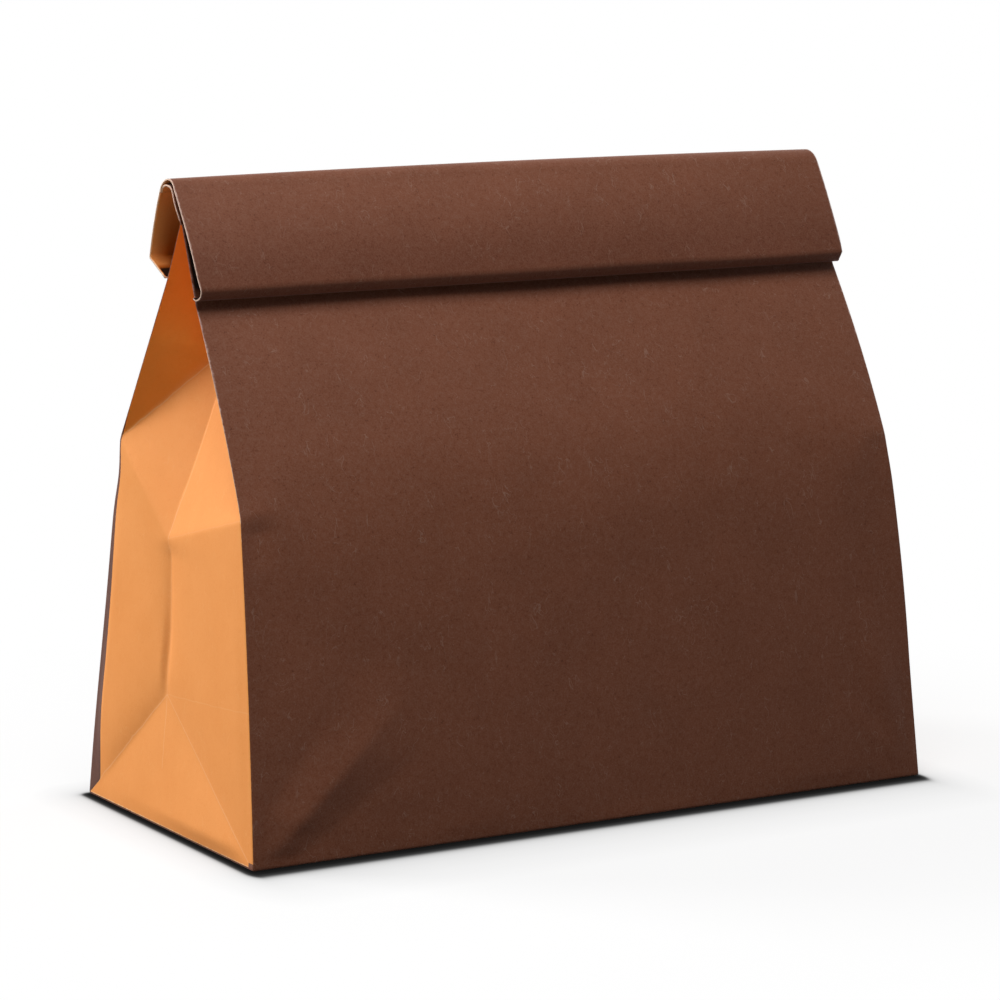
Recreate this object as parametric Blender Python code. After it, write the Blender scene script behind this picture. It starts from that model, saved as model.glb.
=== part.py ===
"""A brown paper lunch bag that stands packed, with its top rolled over and creased to the front.

One glued and folded sheet, drawn as one filled solid. Metres, +Z up, front wall towards -Y,
origin at the middle of the base.
"""

import math

import bmesh
import bpy
from mathutils import Matrix, Vector

# Base
BASE_WIDTH = 0.240  # along X, from side fold to side fold
BASE_DEPTH = 0.1125  # along Y, the width of a side gusset

# Heights, each measured up from the one before
BASE_FOLD_RISE = 0.044  # base to the level fold over the base triangle of a gusset
STAR_RISE = 0.046  # up to the point in a gusset where its folds meet
LEFT_KINK_RISE = 0.0125  # star to the kink in the left end of the front wall
RIGHT_KINK_RISE = 0.021  # star to the kink in the right end of the front wall
BACK_KINK_RISE = 0.0265  # star to the kink in the back wall
VALLEY_RISE = 0.032  # back kink to the point where a gusset turns in deep
NECK_RISE = 0.0145  # valley point to the neck, where the roll meets the front wall
BACK_NECK_RISE = 0.006  # neck to where the roll meets the back wall
APEX_RISE = 0.017  # back neck to the line where front and back wall close
RIDGE_RISE = 0.0131  # apex to the top of the roll

# Walls
EDGE_LEAN = 0.0055  # how far each side fold leans in from base to ridge
LEFT_KINK_SETBACK = 0.0114  # front wall's kink behind the front of the base, left end
RIGHT_KINK_SETBACK = 0.0137  # the same at the right end
BACK_KINK_SETBACK = 0.0173  # back wall's kink in front of the back of the base
FRONT_NECK_REACH = 0.0129  # front wall at the neck, in front of the middle plane
BACK_NECK_REACH = 0.0063  # back wall at the back neck, behind the middle plane
APEX_FORWARD = 0.0024  # closing line of the walls, in front of the middle plane
LOWER_BOW = 0.0009  # how far a wall bows out between base and kink
UPPER_BOW = 0.0014  # how far the front wall bows out between kink and neck

# Gussets
STAR_INSET = 0.0008  # star point, in from the side folds
VALLEY_INSET = 0.019  # valley point, in from the side folds
CLOSING_MARGIN = 0.0004  # wall stock on each side of the roll's inner layer at the apex
CLOSING_THICKNESS = 0.0016  # height of the strip where the two walls close

# Roll
OUTER_LAYER = 0.0008  # outer turn of paper, drawn thicker than the sheet
RIDGE_GAP = 0.0010  # between the outer and the inner turn over the ridge
INNER_LAYER = 0.0011  # inner turn, several sheets together
RIDGE_SETBACK = 0.0042  # middle of the ridge's rounding, behind the middle plane
FLAP_STAND = 0.0050  # foot of the front flap, in front of the wall
FOOT_RISE = 0.0040  # foot of the front flap above the neck, where the curl starts
CURL_DROP = 0.0004  # how far the curl under the flap is pulled down
FLAP_BOW = 0.0012  # how far the front flap bows out between foot and ridge
HEEL_STAND = 0.0099  # heel of the back flap, behind the wall
HEEL_RISE = 0.0050  # heel above the back neck
ROLL_OVERHANG = 0.0005  # roll past the side folds, at each end
ROLL_END_DEPTH = 0.040  # how far the roll's layers stay apart, in from each end
SEAT = 0.0003  # how far a layer of the roll sinks into the wall it rests on
GAP_END_ANGLE = math.radians(25)  # where the turns come together behind the ridge

# Smoothness
ARC_STEPS = 10
CURVE_STEPS = 6
CUTTER_MARGIN = 0.002  # how far a cutter stands out of the solid that it cuts

# Levels that follow from the sizes above
base_fold_z = BASE_FOLD_RISE
star_z = base_fold_z + STAR_RISE
left_kink_z = star_z + LEFT_KINK_RISE
right_kink_z = star_z + RIGHT_KINK_RISE
back_kink_z = star_z + BACK_KINK_RISE
valley_z = back_kink_z + VALLEY_RISE
neck_z = valley_z + NECK_RISE
back_neck_z = neck_z + BACK_NECK_RISE
apex_z = back_neck_z + APEX_RISE
ridge_z = apex_z + RIDGE_RISE
ridge_radius = OUTER_LAYER + RIDGE_GAP + INNER_LAYER
half_depth = BASE_DEPTH / 2
apex_half = INNER_LAYER / 2 + CLOSING_MARGIN
left, right = -1, 1
BROWN, TAN = 0, 1


def clear_scene():
    for obj in list(bpy.data.objects):
        bpy.data.objects.remove(obj, do_unlink=True)


def collection(name):
    made = bpy.data.collections.new(name)
    bpy.context.scene.collection.children.link(made)
    return made


def paper(name, colour, roughness):
    material = bpy.data.materials.new(name)
    material.use_nodes = True
    shader = material.node_tree.nodes["Principled BSDF"]
    shader.inputs["Base Color"].default_value = (*colour, 1)
    shader.inputs["Roughness"].default_value = roughness
    shader.inputs["Metallic"].default_value = 0
    return material


def between(z, low, high, bow=0.0):
    """The value at height z between two (height, value) points, bowed out at the middle."""
    share = (z - low[0]) / (high[0] - low[0])
    return low[1] + (high[1] - low[1]) * share + 4 * bow * share * (1 - share)


def edge_x(z):
    """Distance of a side fold from the middle of the bag."""
    return between(z, (0, BASE_WIDTH / 2), (ridge_z, BASE_WIDTH / 2 - EDGE_LEAN))


def front_kink(side):
    """(height, reach) of the front wall's kink at one end."""
    if side == left:
        return left_kink_z, half_depth - LEFT_KINK_SETBACK
    return right_kink_z, half_depth - RIGHT_KINK_SETBACK


def front_reach(z, side):
    """How far the front wall stands in front of the middle plane."""
    kink = front_kink(side)
    neck = (neck_z, FRONT_NECK_REACH)
    if z <= kink[0]:
        return between(z, (0, half_depth), kink, LOWER_BOW)
    if z <= neck_z:
        return between(z, kink, neck, UPPER_BOW)
    return between(z, neck, (apex_z, APEX_FORWARD + apex_half))


def back_reach(z):
    """How far the back wall stands behind the middle plane."""
    kink = (back_kink_z, half_depth - BACK_KINK_SETBACK)
    neck = (back_neck_z, BACK_NECK_REACH)
    if z <= back_kink_z:
        return between(z, (0, half_depth), kink, LOWER_BOW)
    if z <= back_neck_z:
        return between(z, kink, neck)
    return between(z, neck, (apex_z, apex_half - APEX_FORWARD))


def middle_x(z):
    """Distance of a gusset's middle fold from the middle of the bag."""
    base_fold = (base_fold_z, edge_x(base_fold_z))
    star = (star_z, edge_x(star_z) - STAR_INSET)
    valley = (valley_z, edge_x(valley_z) - VALLEY_INSET)
    if z <= base_fold_z:
        return edge_x(z)
    if z <= star_z:
        return between(z, base_fold, star)
    if z <= valley_z:
        return between(z, star, valley)
    return between(z, valley, (apex_z, edge_x(apex_z) - half_depth))


def middle_y(z, side):
    """Place of a gusset's middle fold between the walls, halfway from the valley point up."""
    level = max(z, valley_z)
    halfway = (back_reach(level) - front_reach(level, side)) / 2
    return halfway * min(z / valley_z, 1)


def gusset_middle(z, side):
    """The gusset's middle fold: flat up to the star, then turning in to the full pleat."""
    return Vector((side * middle_x(z), middle_y(z, side), z))


def wall_point(z, side, wall):
    """A point on the side fold between a gusset and the front (-1) or back (+1) wall."""
    reach = back_reach(z) if wall > 0 else front_reach(z, side)
    return Vector((side * edge_x(z), wall * reach, z))


def slant_fold(z, side, wall):
    """The slanting fold in one half of a gusset: corner, middle, kink in the wall, valley."""
    kink_z = back_kink_z if wall > 0 else front_kink(side)[0]
    middle = gusset_middle(z, side)
    if z <= base_fold_z:
        start, end = wall_point(0, side, wall), gusset_middle(base_fold_z, side)
        return start.lerp(end, z / base_fold_z)
    if star_z < z <= kink_z:
        start, end = gusset_middle(star_z, side), wall_point(kink_z, side, wall)
        return start.lerp(end, (z - star_z) / (kink_z - star_z))
    if kink_z < z < valley_z:
        start, end = wall_point(kink_z, side, wall), gusset_middle(valley_z, side)
        return start.lerp(end, (z - kink_z) / (valley_z - kink_z))
    return middle


def body_ring(z):
    """The bag's outline at one height, front left corner first."""
    front = [wall_point(z, left, -1), wall_point(z, right, -1)]
    right_side = [slant_fold(z, right, -1), gusset_middle(z, right), slant_fold(z, right, 1)]
    back = [wall_point(z, right, 1), wall_point(z, left, 1)]
    left_side = [slant_fold(z, left, 1), gusset_middle(z, left), slant_fold(z, left, -1)]
    return front + right_side + back + left_side


def closing_ring(z, half):
    """The outline where the walls have closed and the gussets have ended."""
    x = edge_x(apex_z)
    front, back = -APEX_FORWARD - half, -APEX_FORWARD + half
    corners = [Vector((-x, front, z)), Vector((x, front, z))]
    corners += [Vector((x, y, z)) for y in (front, (front + back) / 2, back)]
    corners += [Vector((x, back, z)), Vector((-x, back, z))]
    return corners + [Vector((-x, y, z)) for y in (back, (front + back) / 2, front)]


def body_mesh(name):
    """The bag up to where its walls close, lofted through its outlines."""
    levels = {0, base_fold_z, star_z, left_kink_z, right_kink_z, back_kink_z}
    levels |= {valley_z, neck_z, back_neck_z, apex_z}
    levels.add(base_fold_z / 2)
    levels.add((base_fold_z + star_z) / 2)
    levels.add((back_kink_z + valley_z) / 2)
    rings = [body_ring(z) for z in sorted(levels)]
    rings.append(closing_ring(apex_z, apex_half))
    rings.append(closing_ring(apex_z + CLOSING_THICKNESS, INNER_LAYER / 2))
    bm = bmesh.new()
    rows = [[bm.verts.new(point) for point in ring] for ring in rings]
    count = len(rows[0])
    for low, high in zip(rows, rows[1:]):
        for i in range(count):
            j = (i + 1) % count
            face = bm.faces.new((low[i], low[j], high[j], high[i]))
            face.material_index = BROWN if i in (0, count // 2) else TAN
    bm.faces.new(reversed(rows[0]))
    bm.faces.new(rows[-1])
    bmesh.ops.remove_doubles(bm, verts=bm.verts, dist=1e-6)
    mesh = bpy.data.meshes.new(name)
    bm.to_mesh(mesh)
    bm.free()
    return mesh


def tangent_angle(point, centre, radius, turn):
    """Angle on a circle where the line from a point touches it."""
    offset = point - centre
    return math.atan2(offset.y, offset.x) + turn * math.acos(radius / offset.length)


def arc(centre, radius, start, end):
    steps = [start + (end - start) * i / ARC_STEPS for i in range(ARC_STEPS + 1)]
    return [centre + radius * Vector((math.cos(a), math.sin(a))) for a in steps]


def bend(start, pull, end):
    """A quadratic curve between two points, drawn towards a third."""
    points = []
    for i in range(CURVE_STEPS + 1):
        t = i / CURVE_STEPS
        points.append(start * (1 - t) ** 2 + 2 * pull * t * (1 - t) + end * t ** 2)
    return points


def bowed_out(start, end, bow):
    """The points of a line between two points, bowed out on its left, without its ends."""
    along = (end - start).normalized()
    pull = (start + end) / 2 + 2 * bow * Vector((-along.y, along.x))
    return bend(start, pull, end)[1:-1]


def inset_corner(before, corner, after, distance):
    """The corner of an outline, moved in by a distance from both its sides."""
    along, onward = (corner - before).normalized(), (after - corner).normalized()
    normals = Vector((along.y, -along.x)) + Vector((onward.y, -onward.x))
    normals.normalize()
    return corner + normals * distance / normals.dot(Vector((along.y, -along.x)))


def roll_points():
    """Named points of the roll's section, as (y, z)."""
    points = {}
    points["centre"] = Vector((RIDGE_SETBACK, ridge_z - ridge_radius))
    points["tip"] = Vector((SEAT - FRONT_NECK_REACH, neck_z))
    points["foot"] = Vector((-FRONT_NECK_REACH - FLAP_STAND, neck_z + FOOT_RISE))
    points["pull"] = Vector((-FRONT_NECK_REACH - FLAP_STAND, neck_z - CURL_DROP))
    points["heel"] = Vector((BACK_NECK_REACH + HEEL_STAND, back_neck_z + HEEL_RISE))
    points["floor_tip"] = Vector((BACK_NECK_REACH - SEAT, back_neck_z))
    return points


def roll_outline():
    """The outside of the roll: curl, front flap, ridge, back flap, heel and floor."""
    p = roll_points()
    front_turn = tangent_angle(p["foot"], p["centre"], ridge_radius, -1) % (2 * math.pi)
    back_turn = tangent_angle(p["heel"], p["centre"], ridge_radius, 1)
    ridge = arc(p["centre"], ridge_radius, front_turn, back_turn)
    flap = bowed_out(p["foot"], ridge[0], FLAP_BOW)
    outline = bend(p["tip"], p["pull"], p["foot"]) + flap + ridge
    return outline + [p["heel"], p["floor_tip"]]


def roll_hollow():
    """The open space between the layers at an end of the roll."""
    p = roll_points()
    centre = p["centre"]
    front_turn = tangent_angle(p["foot"], centre, ridge_radius, -1) % (2 * math.pi)
    inward = -Vector((math.cos(front_turn), math.sin(front_turn)))
    foot = p["foot"] + inward * OUTER_LAYER
    pull = p["pull"] + Vector((OUTER_LAYER, OUTER_LAYER))
    tip = p["tip"] + Vector((0, OUTER_LAYER))
    outer = arc(centre, INNER_LAYER + RIDGE_GAP, front_turn, GAP_END_ANGLE)
    strip_end = Vector((INNER_LAYER / 2 - APEX_FORWARD, apex_z + CLOSING_THICKNESS / 2))
    strip = (centre - strip_end).normalized()
    across = Vector((-strip.y, strip.x))
    inner = arc(centre, INNER_LAYER, GAP_END_ANGLE, math.atan2(across.y, across.x))
    strip_foot = [strip_end + across * INNER_LAYER, strip_end, centre]
    ridge_back = tangent_angle(p["heel"], centre, ridge_radius, 1)
    ridge_end = centre + ridge_radius * Vector((math.cos(ridge_back), math.sin(ridge_back)))
    heel = inset_corner(ridge_end, p["heel"], p["floor_tip"], OUTER_LAYER)
    floor_tip = p["floor_tip"] + (heel - p["heel"])
    floor_tip.x = p["floor_tip"].x
    below = neck_z - CUTTER_MARGIN
    bottom = [Vector((floor_tip.x, below)), Vector((tip.x, below))]
    flap = bowed_out(foot, outer[0], FLAP_BOW)
    front = bend(tip, pull, foot) + flap + outer + inner
    return front + strip_foot + [heel, floor_tip] + bottom


def prism(name, outline, width, place, made_in):
    """A (y, z) outline, filled and drawn out along X, as a mesh object."""
    flat = bpy.data.curves.new(name, "CURVE")
    flat.dimensions = "2D"
    flat.fill_mode = "BOTH"
    flat.extrude = width / 2
    spline = flat.splines.new("POLY")
    spline.points.add(len(outline) - 1)
    for point, place_on in zip(spline.points, outline):
        point.co = (place_on.x, place_on.y, 0, 1)
    spline.use_cyclic_u = True
    guide = bpy.data.objects.new(name + "_outline", flat)
    made_in.objects.link(guide)
    upright = Matrix(((0, 0, 1), (1, 0, 0), (0, 1, 0))).to_4x4()
    guide.matrix_world = Matrix.Translation((place, 0, 0)) @ upright
    bpy.context.view_layer.update()
    evaluated = guide.evaluated_get(bpy.context.evaluated_depsgraph_get())
    mesh = bpy.data.meshes.new_from_object(evaluated)
    bm = bmesh.new()
    bm.from_mesh(mesh)
    bmesh.ops.remove_doubles(bm, verts=bm.verts, dist=1e-6)
    bmesh.ops.recalc_face_normals(bm, faces=bm.faces)
    bm.to_mesh(mesh)
    bm.free()
    made = bpy.data.objects.new(name, mesh)
    made.matrix_world = guide.matrix_world
    bpy.data.objects.remove(guide, do_unlink=True)
    made_in.objects.link(made)
    made.hide_render = True
    made.display_type = "WIRE"
    return made


def finish_slots(obj, materials, index):
    obj.data.materials.clear()
    for material in materials:
        obj.data.materials.append(material)
    for face in obj.data.polygons:
        face.material_index = index


def boolean(obj, other, operation):
    modifier = obj.modifiers.new(other.name, "BOOLEAN")
    modifier.operation = operation
    modifier.object = other
    modifier.solver = "EXACT"


def build():
    clear_scene()
    parts = collection("paper_lunch_bag")
    helpers = collection("cutters")
    brown = paper("dark_brown_kraft", (0.125, 0.062, 0.042), 0.75)
    tan = paper("tan_kraft", (0.72, 0.33, 0.12), 0.70)
    materials = (brown, tan)

    roll_width = 2 * (edge_x(neck_z) + ROLL_OVERHANG)
    roll = prism("roll", roll_outline(), roll_width, 0, helpers)
    finish_slots(roll, materials, BROWN)
    cutter_width = ROLL_END_DEPTH + CUTTER_MARGIN
    for side, word in ((left, "left"), (right, "right")):
        place = side * (roll_width / 2 + CUTTER_MARGIN - cutter_width / 2)
        hollow = prism("roll_hollow_" + word, roll_hollow(), cutter_width, place, helpers)
        finish_slots(hollow, materials, TAN)
        boolean(roll, hollow, "DIFFERENCE")

    bag = bpy.data.objects.new("paper_bag", body_mesh("paper_bag"))
    for material in materials:
        bag.data.materials.append(material)
    parts.objects.link(bag)
    boolean(bag, roll, "UNION")


build()
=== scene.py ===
"""Looks of the brown paper lunch bag: its folded sheet, the paper's finish, floor, light and camera.

Metres, +Z up, front wall towards -Y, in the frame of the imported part.
"""

import math

import bpy
from mathutils import Matrix, Vector, noise


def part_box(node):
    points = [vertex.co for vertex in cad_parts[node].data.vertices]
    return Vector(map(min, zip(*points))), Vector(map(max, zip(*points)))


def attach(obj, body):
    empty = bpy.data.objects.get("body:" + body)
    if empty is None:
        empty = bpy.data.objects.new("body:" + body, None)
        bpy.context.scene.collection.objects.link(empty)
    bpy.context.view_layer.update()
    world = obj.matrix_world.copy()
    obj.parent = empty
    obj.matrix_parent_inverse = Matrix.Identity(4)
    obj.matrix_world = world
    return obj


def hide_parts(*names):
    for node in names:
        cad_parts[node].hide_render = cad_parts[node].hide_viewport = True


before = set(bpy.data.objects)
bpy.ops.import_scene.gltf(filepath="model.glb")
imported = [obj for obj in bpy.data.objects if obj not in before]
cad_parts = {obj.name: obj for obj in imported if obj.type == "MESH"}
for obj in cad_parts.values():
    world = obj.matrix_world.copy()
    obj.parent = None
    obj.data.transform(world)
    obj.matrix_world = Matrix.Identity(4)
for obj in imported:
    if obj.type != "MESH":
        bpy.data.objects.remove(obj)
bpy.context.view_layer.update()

left, right = -1, 1

# Base and height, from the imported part
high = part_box("paper_bag")[1]
half_depth = high.y
ridge_z = high.z
HALF_WIDTH = 0.1200

# Levels of the folds
BASE_FOLD_Z = 0.0415
STAR_Z = 0.0900
LEFT_KINK_Z = 0.1025
RIGHT_KINK_Z = 0.1110
BACK_KINK_Z = 0.1165
VALLEY_Z = 0.1485
NECK_Z = 0.1630
BACK_NECK_Z = 0.1690
APEX_Z = 0.1860

# Walls
EDGE_LEAN = 0.0055
LEFT_KINK_SETBACK = 0.0114
RIGHT_KINK_SETBACK = 0.0137
BACK_KINK_SETBACK = 0.0178
FRONT_NECK_REACH = 0.0129
BACK_NECK_REACH = 0.0063
APEX_FORWARD = 0.0024
APEX_HALF = 0.0005
LOWER_BOW = 0.0009
UPPER_BOW = 0.0014
RIGHT_SWELL = 0.0016  # how far the right side fold bows out below its kink
RIGHT_FOOT_OUT = 0.0003
RIGHT_FLARE = 0.0019  # how far the right foot spreads beyond the CAD
RIGHT_FLARE_Z = 0.040
RIGHT_FLARE_POWER = 1.6
RIGHT_SHOULDER = 0.0009  # how far the right side stands out at the neck
KINK_DIP = 0.0004
KINK_DIP_Z = 0.095
FOOT_SPREAD = 0.0023  # how far the foot of the back wall spreads beyond the CAD
FOOT_SPREAD_Z = 0.078
BACK_HOLLOW = 0.0014  # a hollow below the back wall's kink
BACK_HOLLOW_DROP = 0.011
BACK_HOLLOW_REACH = 0.008
FOLD_SOFTNESS = 0.0004  # how softly a wall's kink bends at the side folds, and further in
FRONT_SOFTNESS = 0.0060
BACK_SOFTNESS = 0.0050
SOFTNESS_REACH = 0.030

# Gussets
BASE_FOLD_INSET = 0.0018
STAR_INSET = 0.0008
FOOT_MIDDLE_Y = 0.0030  # how far back of the bag's middle the gusset's middle fold runs
BASE_FOLD_Y = 0.0062
STAR_Y = 0.0048
VALLEY_INSET = 0.0190
STRIP_WIDTH = 0.0078  # brown print that laps round a back fold, at the base
STRIP_LEAST = 0.00050
STRIP_TOP_Z = 0.135
SKIRT_Z = 0.0008  # brown under the lower edge of a gusset
CORNER_COLUMNS = 6  # brown corner at the foot of a front fold, in columns of the grid
CORNER_Z = 0.0022

# Relief of the gussets, for the front (-1) and the back (1) half
TRIANGLE_LIFT = 0.0024
GROOVE = 0.0012  # along the middle fold
GROOVE_REACH = {-1: 0.0080, 1: 0.0042}
GROOVE_TOP_Z = 0.084
BASE_RISE = {-1: 0.0011, 1: 0.0023}  # over the creases from the feet to the base fold
RISE_START = {-1: 0.0100, 1: 0.0080}
RISE_REACH = 0.035
FACET_SAG = {-1: 0.0005, 1: 0.0013}
GUSSET_FADE = (0.135, 0.150)

# Relief of the walls. Waves: (height, length, seed). Creases that start in a lower corner: (start, end,
# height, reach to the left, reach to the right). Crinkles: (centre, reach, height, length, seed).
# Pinches beside a kink: (side, level, reach, depth).
FRONT_RELIEF = {
    "layer": 0,
    "waves": ((0.00035, 0.060, 3.1), (0.00016, 0.022, 7.7), (0.00005, 0.009, 1.3)),
    "creases": (
        ((-0.1190, 0.0000), (-0.0700, 0.0430), 0.0021, 0.018, 0.017),
        ((0.1200, 0.0000), (0.1030, 0.0480), 0.0011, 0.010, 0.012),
        ((0.1200, 0.0000), (0.1130, 0.0360), 0.0005, 0.003, 0.004),
        ((0.1200, 0.0000), (0.0980, 0.0230), 0.0004, 0.004, 0.004),
    ),
    "crinkles": (((-0.112, 0.010), 0.018, 0.00040, 0.0070, 6.6),),
    "pinches": ((left, LEFT_KINK_Z - 0.0040, 0.0190, 0.0013), (right, RIGHT_KINK_Z - 0.0030, 0.0140, 0.0006)),
    "fade": (0.150, NECK_Z),
}
BACK_RELIEF = {
    "layer": 5,
    "waves": ((0.00040, 0.065, 5.1), (0.00018, 0.024, 2.7), (0.00005, 0.009, 8.3)),
    "creases": (
        ((-0.1190, 0.0000), (-0.0800, 0.0380), 0.0012, 0.014, 0.016),
        ((0.1190, 0.0000), (0.0740, 0.0450), 0.0015, 0.018, 0.016),
    ),
    "crinkles": (),
    "pinches": ((left, BACK_KINK_Z - 0.0030, 0.0170, 0.0011), (right, BACK_KINK_Z - 0.0040, 0.0150, 0.0009)),
    "fade": (0.158, BACK_NECK_Z),
}
RELIEF_START_Z = 0.006
PINCH_ABOVE = 0.0055
PINCH_BELOW = 0.0110

# Paper and bottom
FOLD_RADIUS = 0.0007
BASE_RADIUS = 0.0008
BASE_RINGS = (0.0003, 0.0007, 0.0014, 0.0022, 0.0030)
BOTTOM_RISE = 0.0005  # room for the bottom flaps' two layers
BOTTOM_SHEET = 0.0002
BOTTOM_MARGIN = 0.0034
BOTTOM_OVERLAP = 0.0080
FRONT_FLAP_Z = 0.00003
BACK_FLAP_Z = 0.00024
SHEET = 0.00045
FIN_THICKNESS = 0.0005
UNWORN = 0.02  # a distance from a fold at which the paper shows no wear

# Grids
WALL_STEP = 0.0022
GUSSET_COLUMNS = 92
ROW_STEP = 0.0010
ROLL_STEP = 0.0024
NEAR_FOLD = [0, 0.0002, 0.00045, 0.0008, 0.0013, 0.002, 0.003]
NEAR_STRIP = [0.0012, 0.0007, 0.0003]
NEAR_ROLL_END = [0, 0.0006, 0.0014]
STRIP_SHARES = [1, 0.75, 0.5, 0.3, 0.15, 0.07, 0]

# Painted shade: where the bag hides its own paper, in a gusset's recess, on the brown strips beside the back
# folds and on the flap's outer face, most at its foot
RECESS_SHADE = 0.58
STRIP_SHADE = 0.60
STRIP_EDGE_SHADE = 0.80
FLAP_SHADE = 0.30

# Roll, at its left and right end where there are two values
ROLL_OVERHANG = 0.0005
RIGHT_OVERHANG = 0.0006  # more at the right end
RIDGE_SETBACK = (0.0037, 0.0030)
RIDGE_RADIUS = (0.0054, 0.0064)
RIDGE_LIFT = 0.0007  # the ridge's swell halfway along
RIGHT_RISE = 0.0003
RIDGE_GAP = 0.0014
FLAP_BOW = (0.0010, 0.0003)
FLAP_SWELL = 0.0008
FLAP_STAND = 0.0050
FOOT_RISE = 0.0044
HEEL_STAND = 0.0104
HEEL_RISE = 0.0053
BACK_FLAP_BOW = 0.0006
END_CUT_REACH = 0.004
roll_half = HALF_WIDTH - EDGE_LEAN * NECK_Z / ridge_z + ROLL_OVERHANG

# Places in a section of the outer turn, counted from the curl
FOOT_END = 12
FLAP_FADE_END = 36  # where the flap is as bright as the ridge
RIDGE_END = 50  # last point of the ridge that the inner turn fills
FLOOR_START = 79  # first point past the heel

# Paper's colours and finish. The last two colours of a look are painted shade: a tint for half shade and a
# dark colour for full shade, mixed in by the shade attribute.
BROWN_LOOK = {
    "light": (0.182, 0.0590, 0.0285), "dark": (0.160, 0.0505, 0.0235),
    "pale": (0.46, 0.32, 0.25), "grain": 0.12, "pit": (0.03, 0.008, 0.004), "pits": 0.50,
    "fibres": 0.17, "wear": (0.62, 0.42, 0.36), "wear_width": 0.00045, "wear_share": 0.85,
    "gloss": 0.16, "sheen": 0.06, "bump": 0.50, "painted_shade_tint": (0.50, 0.40, 0.35), "deep": (0.008, 0.0028, 0.0016),
}
TAN_LOOK = {
    "light": (0.860, 0.332, 0.092), "dark": (0.820, 0.305, 0.078),
    "pale": (0.92, 0.48, 0.20), "grain": 0.10, "pit": (0.70, 0.22, 0.045), "pits": 0.30,
    "fibres": 0.14, "wear": (0.93, 0.64, 0.38), "wear_width": 0.00050, "wear_share": 0.85,
    "gloss": 0.06, "sheen": 0.02, "bump": 0.30, "painted_shade_tint": (0.60, 0.33, 0.12), "deep": (0.016, 0.004, 0.001),
}
# The gussets' painted shade is tinted orange, as if lit by light bounced inside the recess.
GUSSET_LOOK = {**TAN_LOOK, "painted_shade_tint": (0.98, 0.86, 0.46)}
EDGE_LOOK = {
    "light": (0.74, 0.54, 0.42), "dark": (0.60, 0.42, 0.31),
    "pale": (0.80, 0.64, 0.52), "grain": 0.20, "pit": (0.30, 0.17, 0.11), "pits": 0.30,
    "fibres": 0.20, "wear": (0.70, 0.50, 0.39), "wear_width": 0.00001, "wear_share": 0.10,
    "gloss": 0.06, "sheen": 0.04, "bump": 0.20, "painted_shade_tint": (1, 1, 1), "deep": (0.40, 0.28, 0.22),
}
ROUGHNESS = (0.52, 0.70)
SHEEN_ROUGHNESS = 0.5
BUMP_DISTANCE = 0.00010
CREASE_WIDTH = 0.00030
CREASE_SHAKE = 0.0008

# Sizes of the paper's patterns, in repeats to the metre
CLOUD_SCALE = 42
COCKLE_SCALE = 120
SHAKE_SCALE = 160
FIBRE_SCALE = 330
COARSE_SCALE = 560
FLECK_SCALE = 700
WEAR_SCALE = 700
FINE_SCALE = 1900

# Floor, with a painted contact shadow round the bag's base
FLOOR_HALF = 3.0
FLOOR_ALBEDO = 0.14  # to every ray but those that show the background
FLOOR_DIFFUSE = 0.16
FLOOR_GLOW = 0.82
WHITE_START, WHITE_END = 0.13, 0.30  # distances where the floor turns white
LEFT_REACH = 0.0032  # how far from the bag its contact shadow is half as dark
RIGHT_REACH = 0.0030
FRONT_REACH = 0.0074
BACK_REACH = 0.0032
CONTACT_END = 6.0
# (distance from the base in those reaches, brightness of the floor)
CONTACT_STOPS = ((0, 0.008), (0.38, 0.014), (0.50, 0.024), (0.70, 0.045), (0.81, 0.100), (0.95, 0.26),
                 (1.07, 0.48), (1.20, 0.62), (1.33, 0.71), (1.50, 0.78), (1.80, 0.84), (2.40, 0.89),
                 (3.50, 0.94), (6.0, 1.0))

# Light and camera
AMBIENT = 0.02
LAMP_TARGET = Vector((0, 0, 0.09))
# name, degrees from the front towards the left, degrees up, distance, size, watts
LAMPS = (
    ("key", 30, 66, 0.75, 0.35, 4.2),
    ("left_back", 135, 20, 1.6, 0.6, 26.0),
    ("left_front", 65, 2, 0.55, 0.15, 0.27),
    ("right_fill", -100, 14, 1.2, 0.5, 7.0),
)
CAMERA_YAW = 30.604
CAMERA_PITCH = 9.285
CAMERA_ASIDE = -0.00222
CAMERA_HEIGHT = 0.092762
CAMERA_DISTANCE = 1.240584
CAMERA_LENS = 140.83
CAMERA_SENSOR = 36


def between(z, low_point, high_point, bow=0.0):
    """The value at height z between two (height, value) points, bowed out at the middle."""
    share = (z - low_point[0]) / (high_point[0] - low_point[0])
    return low_point[1] + (high_point[1] - low_point[1]) * share + 4 * bow * share * (1 - share)


def mix(a, b, share):
    return a + (b - a) * share


def smooth_step(value, start, end):
    share = min(max((value - start) / (end - start), 0), 1)
    return share * share * (3 - 2 * share)


def soft_least(a, b, softness):
    """The smaller of two values, rounded over where they are close."""
    share = max(softness - abs(a - b), 0) / softness
    return min(a, b) - share * share * softness / 4


def edge_x(z, side=left):
    """Distance of a side fold from the middle of the bag."""
    x = between(z, (0, HALF_WIDTH), (ridge_z, HALF_WIDTH - EDGE_LEAN))
    if side == left:
        return x
    if z < RIGHT_KINK_Z:
        flare = RIGHT_FLARE * max(1 - z / RIGHT_FLARE_Z, 0) ** RIGHT_FLARE_POWER
        swell = between(z, (0, RIGHT_FOOT_OUT), (RIGHT_KINK_Z, 0), RIGHT_SWELL)
        return x + flare + swell - KINK_DIP * smooth_step(z, KINK_DIP_Z, RIGHT_KINK_Z)
    return x + between(min(z, NECK_Z), (RIGHT_KINK_Z, -KINK_DIP), (NECK_Z, RIGHT_SHOULDER))


def kink_softness(across, softest):
    """How softly a wall bends at its kink, sharp at the side folds."""
    from_fold = min(across, 1 - across) * 2 * HALF_WIDTH
    return mix(FOLD_SOFTNESS, softest, smooth_step(from_fold, 0, SOFTNESS_REACH))


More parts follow.
